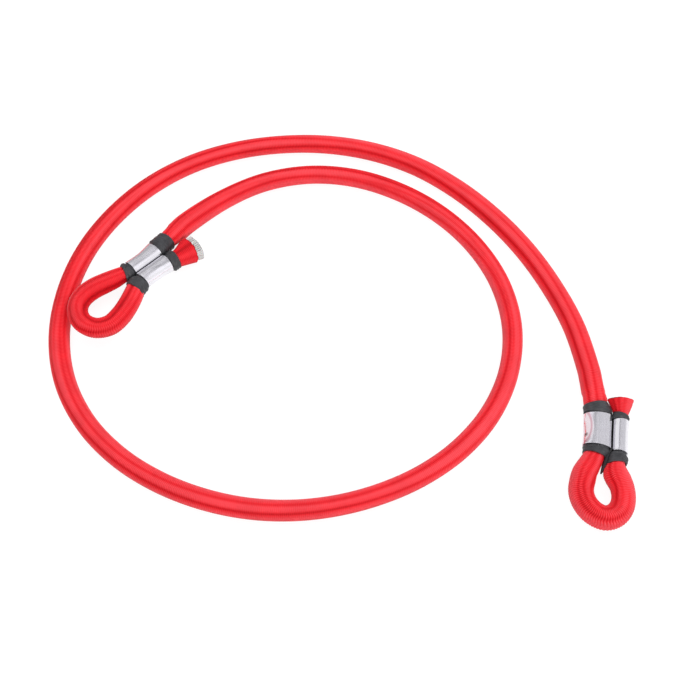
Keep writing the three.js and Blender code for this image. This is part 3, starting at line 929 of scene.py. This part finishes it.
def on_barrel(end, rings, place):
    """Where the dent or a painted reflection lies on a barrel, and which way is out there, in the end's own
    frame.
    """
    along, lean = place[0] * MM, math.radians(place[1])
    middle = rings[len(rings) // 2]
    half_width, half_height = np.abs((middle - middle.mean(0)) @ end.axes.T).max(0)[1:]
    outward = 1 if end.spec["dent"]["leg"] == "tail" else -1
    from_axis = np.array([along, outward * math.cos(lean) * half_width, math.sin(lean) * half_height])
    return end.from_part(middle.mean(0)) + from_axis, unit(from_axis * (0, 1, 1))


def dented(rings, end):
    """Presses a shallow crimping mark into the outer flank of a barrel."""
    dent = end.spec["dent"]
    spot, outward = on_barrel(end, rings, dent["place"])
    offset = end.from_part(rings) - spot
    half_length, half_width = (size * MM for size in dent["half"])
    across = np.linalg.norm(offset[..., 1:], axis=-1)
    reach = np.sqrt((offset[..., 0] / half_length) ** 2 + (across / half_width) ** 2)
    pressed = dent["depth"] * MM * np.clip(1 - reach**2.5, 0, 1)
    return rings - pressed[..., None] * (outward @ end.axes)


def make_ferrule(end):
    name = f"ferrule_{end.spec['name']}"
    dent = end.spec["dent"]
    barrels = {}
    bores = {}
    painted_reflections = {}
    for leg in ("standing", "tail"):
        part = end.span(leg, RIM_OUT, RIM_IN)
        outer = oval_rings(end.path[part], end.girth[part], BARREL_OUTSIDE, BARREL_SIDES)
        if dent["leg"] == leg:
            # places of the painted reflections on the dented barrel
            painted_reflections = {mark: on_barrel(end, outer, dent[mark])[0] for mark in ("dark_reflection", "glint") if mark in dent}
            outer = dented(outer, end)
        barrels[leg] = capped_mesh(f"{name}_{leg}", outer)
        bore = oval_rings(end.path[part], end.girth[part], BORE_INSET, BARREL_SIDES)
        bores[leg] = capped_mesh(f"{name}_{leg}_bore", extended(bore, 1 * MM))
    piece = barrels["standing"]
    piece.name = f"{name}_shell"
    boolean(piece, barrels["tail"], "UNION")
    boolean(piece, bores["standing"], "DIFFERENCE")
    boolean(piece, bores["tail"], "DIFFERENCE")
    soften = piece.modifiers.new("soften", "BEVEL")
    soften.width = BARREL_ROUNDING
    soften.segments = 3
    soften.limit_method = "ANGLE"
    soften.angle_limit = math.radians(40)
    bake_modifiers(piece)
    piece.data.shade_smooth()
    piece.data.set_sharp_from_angle(angle=math.radians(35))
    piece.data.materials.clear()
    piece.data.materials.append(ferrule_material(end, painted_reflections))
    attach(piece, f"end_{end.spec['name']}")
    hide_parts(name)


def make_liner(end, leg):
    part = end.span(leg, LINER_OUT, LINER_IN)
    path, inside = end.path[part], end.girth[part]
    count = len(path)
    edge = np.minimum(np.arange(count), np.arange(count)[::-1]) * np.linalg.norm(path[1] - path[0])
    rounding = LINER_ROUNDING / 2 * (1 - np.clip(edge / LINER_ROUNDING, 0, 1)) ** 2
    outer = oval_rings(path, inside, LINER_INSET + end.wall[part] - rounding)
    inner = oval_rings(path, inside, LINER_INSET)
    place = lengths_along(path)[:, None]
    fine = 2 * math.pi * place / (2.3 * MM) + 1.2 * np.sin(3 * angles + 1) + 0.8 * np.sin(5 * angles)
    coarse = 2 * math.pi * place / (5.1 * MM) + 2 * np.sin(2 * angles + 2)
    wrinkle = np.sin(fine) + 0.6 * np.sin(coarse)
    outer = outer + WRINKLE_HEIGHT * wrinkle[:, :, None] * unit(outer - path[:, None, :])
    ahead = unit(np.gradient(path, axis=0))[:, None, :]
    ends = end.spec[leg]["skew"] if leg == "standing" else end.spec[leg]["skew"][::-1]
    reach = [np.clip(1 - place / SKEW_REACH, 0, 1), np.clip(1 + (place - place[-1]) / SKEW_REACH, 0, 1)]
    for (flank, crotch), share, way in zip(ends, reach, (-1, 1)):
        longer = MM * ((flank + crotch) / 2 + (flank - crotch) / 2 * np.cos(angles))[None, :]
        shift = way * (share * longer)[:, :, None] * ahead
        outer = outer + shift
        inner = inner + shift
    piece = tube_mesh(f"liner_{leg}_{end.spec['name']}_sleeve", above_floor(outer), above_floor(inner))
    piece.data.set_sharp_from_angle(angle=math.radians(50))
    piece.data.materials.append(LINER)
    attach(piece, f"end_{end.spec['name']}")
    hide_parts(f"liner_{leg}_{end.spec['name']}")


for end in (end_a, end_b):
    make_ferrule(end)
    make_liner(end, "standing")
    make_liner(end, "tail")

# A torn end of the liner hangs between the legs of end B, wide enough to fill the shade between them as well,
# and coloured in painted shade: x, y, z, half width and half height, in millimetres

TORN_END = (
    (14.4, -0.2, 1.2, 1.1, 2.6),
    (21, -3.0, 1.5, 2.0, 3.0),
    (26, -4.2, 0.8, 2.0, 2.8),
    (31, -5.6, 0.2, 1.5, 2.2),
    (34.8, -7.0, -0.4, 0.5, 0.8),
)


def make_torn_end(end):
    knots = smooth_curve(np.array(TORN_END) * MM, 8)
    rings = oval_rings(end.to_part(knots[:, :3]), knots[:, 3:], 0, 20)
    piece = capped_mesh("liner_torn_end", rings)
    piece.data.materials.append(TORN)
    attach(piece, "end_b")


make_torn_end(end_b)

# Core strands: they stand out of the tail of end A and end just inside the tail of end B

STRAND_RADIUS = 0.8 * MM
STRAND_REACH_A = 5.3 * MM
STRAND_REACH_B = -1.2 * MM
STRAND_LEAN_A = 1.6 * MM  # how far the bundle of end A spreads towards the standing cord
STRAND_ROOT = 5 * MM
STRAND_CIRCLES = ((1.0, 34), (0.82, 28), (0.64, 22), (0.46, 16), (0.28, 10), (0.1, 4))  # girth, count
STRAND_SIDES = 8
STRAND_STEPS = 4  # rings from one of a strand's four points to the next
STRAND_RINGS = 3 * STRAND_STEPS + 1


def scattered(seed, scale):
    """A share from 0 to 1 that varies from seed to seed and is the same each time."""
    return math.sin(seed) * scale % 1


def make_strands(end, name, reach, lean, cut):
    tip = end.path[-1]
    ahead = unit(end.path[-1] - end.path[-2])
    side = unit(np.cross(ahead, (0, 0, 1)))
    up = np.cross(side, ahead)
    wide, high = end.girth[-1] - SHEATH_WALL - STRAND_RADIUS
    girth = np.full((STRAND_RINGS, 2), STRAND_RADIUS)
    strands = []
    tones = []
    for circle, count in STRAND_CIRCLES:
        for k in range(count):
            seed = 12.9898 * k + 78.233 * circle
            jitter = scattered(seed, 43758.5453)
            tones.append(scattered(seed * 1.7, 9301.77))
            angle = 2 * math.pi * (k + 0.3 * jitter) / count
            flare = 1.06 + 0.03 * jitter
            length = reach + cut(angle) + 0.5 * MM * tones[-1]
            out = side * math.cos(angle) * wide * circle + up * math.sin(angle) * high * circle
            out = out - side * lean * max(0, -math.cos(angle)) * circle
            points = [
                tip - ahead * STRAND_ROOT + out * 0.8,
                tip - ahead * STRAND_ROOT / 2 + out * 0.9,
                tip + ahead * (length - 2 * MM) + out * flare,
                tip + ahead * length + out * flare * 1.02,
            ]
            rings = oval_rings(smooth_curve(points, STRAND_STEPS), girth, 0, STRAND_SIDES)
            strands.append(above_floor(rings))
    size = STRAND_RINGS * STRAND_SIDES
    faces = []
    for first in range(0, len(strands) * size, size):
        faces += grid_faces(STRAND_RINGS, STRAND_SIDES, first)[:, ::-1].tolist()
        faces.append(range(first + size - STRAND_SIDES, first + size))
        faces.append(range(first + STRAND_SIDES - 1, first - 1, -1))
    piece = make_mesh(name, np.stack(strands), faces)
    add_value(piece, "strand", np.repeat(tones, size))
    piece.data.set_sharp_from_angle(angle=math.radians(60))
    piece.data.materials.append(CORE)
    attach(piece, f"end_{end.spec['name']}")
    return piece


def rounded_cut(angle):
    """The outer strands of tail A end a little short, as its sheath does."""
    return -1.0 * MM * max(0, math.cos(angle)) ** 2 + 0.6 * MM * math.sin(angle)


def level_cut(angle):
    return 0


strands_a = make_strands(end_a, "core_strand_bundle", STRAND_REACH_A, STRAND_LEAN_A, rounded_cut)
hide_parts("core_strands_a")
make_strands(end_b, "core_tail_b", STRAND_REACH_B, 0, level_cut)

# Floor, background and light

# Cards that stripe the metal: brightness and corners
CARDS = {
    "ceiling": (0.68, (0.45, 0.6, 2.0), (7.0, 0.6, 2.0), (7.0, 3.0, 2.0), (0.45, 3.0, 2.0)),
    "dim_panel": (0.33, (0.35, 0.05, 1.9), (0.75, 0.35, 1.9), (-1.85, 3.85, 1.9), (-2.25, 3.55, 1.9)),
    "bright_panel": (1.2, (0.75, -0.9, 2.0), (1.9, -0.9, 2.0), (1.9, 0.45, 2.0), (0.75, 0.45, 2.0)),
    "back_wall": (0.5, (-1.9, 2.5, 0.02), (0.2, 2.5, 0.02), (0.2, 2.5, 1.6), (-1.9, 2.5, 1.6)),
    "left_window": (1.12, (-1.4, 0.2, 2.0), (0.4, 0.2, 2.0), (0.4, 1.9, 2.0), (-1.4, 1.9, 2.0)),
    "front_window": (1.3, (1.5, -1.3, 0.05), (1.5, 0, 0.05), (1.5, 0, 0.6), (1.5, -1.3, 0.6)),
}


def background_only(tree, shown, otherwise):
    """Shows one shader to the camera and to reflections, and the other one to diffuse light."""
    path = tree.nodes.new("ShaderNodeLightPath")
    either = tree.nodes.new("ShaderNodeMath")
    either.operation = "MAXIMUM"
    tree.links.new(path.outputs["Is Camera Ray"], either.inputs[0])
    tree.links.new(path.outputs["Is Glossy Ray"], either.inputs[1])
    any_ray = tree.nodes.new("ShaderNodeMath")
    any_ray.operation = "MAXIMUM"
    tree.links.new(either.outputs[0], any_ray.inputs[0])
    tree.links.new(path.outputs["Is Transmission Ray"], any_ray.inputs[1])
    mix = tree.nodes.new("ShaderNodeMixShader")
    tree.links.new(any_ray.outputs[0], mix.inputs[0])
    tree.links.new(otherwise, mix.inputs[1])
    tree.links.new(shown, mix.inputs[2])
    return mix.outputs[0]


def light_up_world():
    world = bpy.data.worlds.new("studio")
    scene.world = world
    world.use_nodes = True
    tree = world.node_tree
    shown = tree.nodes["Background"]
    shown.inputs["Color"].default_value = (1, 1, 1, 1)
    shown.inputs["Strength"].default_value = 1.0
    fill = tree.nodes.new("ShaderNodeBackground")
    fill.inputs["Color"].default_value = (0.96, 0.98, 1.0, 1)
    fill.inputs["Strength"].default_value = 0.42
    output = tree.nodes["World Output"]
    tree.links.new(background_only(tree, shown.outputs[0], fill.outputs[0]), output.inputs["Surface"])


def floor_material():
    """White paper that glows a little for the camera, so that it reads white and still takes a shadow."""
    material = bpy.data.materials.new("paper")
    material.use_nodes = True
    tree = material.node_tree
    tree.nodes.remove(tree.nodes["Principled BSDF"])
    paper = tree.nodes.new("ShaderNodeBsdfDiffuse")
    paper.inputs["Color"].default_value = (0.9, 0.9, 0.9, 1)
    faint = tree.nodes.new("ShaderNodeBsdfDiffuse")
    faint.inputs["Color"].default_value = (0.18, 0.18, 0.18, 1)
    glow = tree.nodes.new("ShaderNodeEmission")
    glow.inputs["Strength"].default_value = 0.91
    both = tree.nodes.new("ShaderNodeAddShader")
    tree.links.new(faint.outputs[0], both.inputs[0])
    tree.links.new(glow.outputs[0], both.inputs[1])
    surface_socket = background_only(tree, both.outputs[0], paper.outputs[0])
    tree.links.new(surface_socket, tree.nodes["Material Output"].inputs["Surface"])
    return material


def make_floor():
    reach = 6.0
    corners = np.array([(-reach, -reach, 0), (reach, -reach, 0), (reach, reach, 0), (-reach, reach, 0)])
    floor = make_mesh("floor", corners, [(0, 1, 2, 3)])
    floor.data.materials.append(floor_material())


def add_lamp(name, place, target, size, watts):
    data = bpy.data.lights.new(name, "AREA")
    data.shape = "RECTANGLE"
    data.size, data.size_y = size
    data.energy = watts
    lamp = bpy.data.objects.new(name, data)
    lamp.location = place
    lamp.rotation_euler = (Vector(target) - Vector(place)).to_track_quat("-Z", "Y").to_euler()
    scene.collection.objects.link(lamp)
    return lamp


def add_card(name, corners, brightness):
    """A card that only reflections see, for depth in the metal."""
    card = make_mesh(name, np.array(corners), [(0, 1, 2, 3)])
    material = bpy.data.materials.new(name)
    material.use_nodes = True
    tree = material.node_tree
    tree.nodes.remove(tree.nodes["Principled BSDF"])
    glow = tree.nodes.new("ShaderNodeEmission")
    glow.inputs["Color"].default_value = (0.97, 0.96, 1.0, 1)
    glow.inputs["Strength"].default_value = brightness
    tree.links.new(glow.outputs[0], tree.nodes["Material Output"].inputs["Surface"])
    card.data.materials.append(material)
    card.visible_camera = False
    card.visible_diffuse = False
    card.visible_shadow = False
    card.visible_transmission = False


light_up_world()
make_floor()
for name, (brightness, *corners) in CARDS.items():
    add_card(name, corners, brightness)
add_lamp("key", (0.6, -3.0, 1.9), (0, 0, 0), (2.0, 1.2), 50)
for lamp in (
    add_lamp("top", (-0.5, 0.5, 1.6), (0, 0, 0), (1.1, 1.1), 9),
    add_lamp("side", (1.3, 0.8, 2.0), (0, 0, 0), (1.2, 1.2), 27),
):
    lamp.visible_glossy = False
scene.view_settings.view_transform = "Standard"
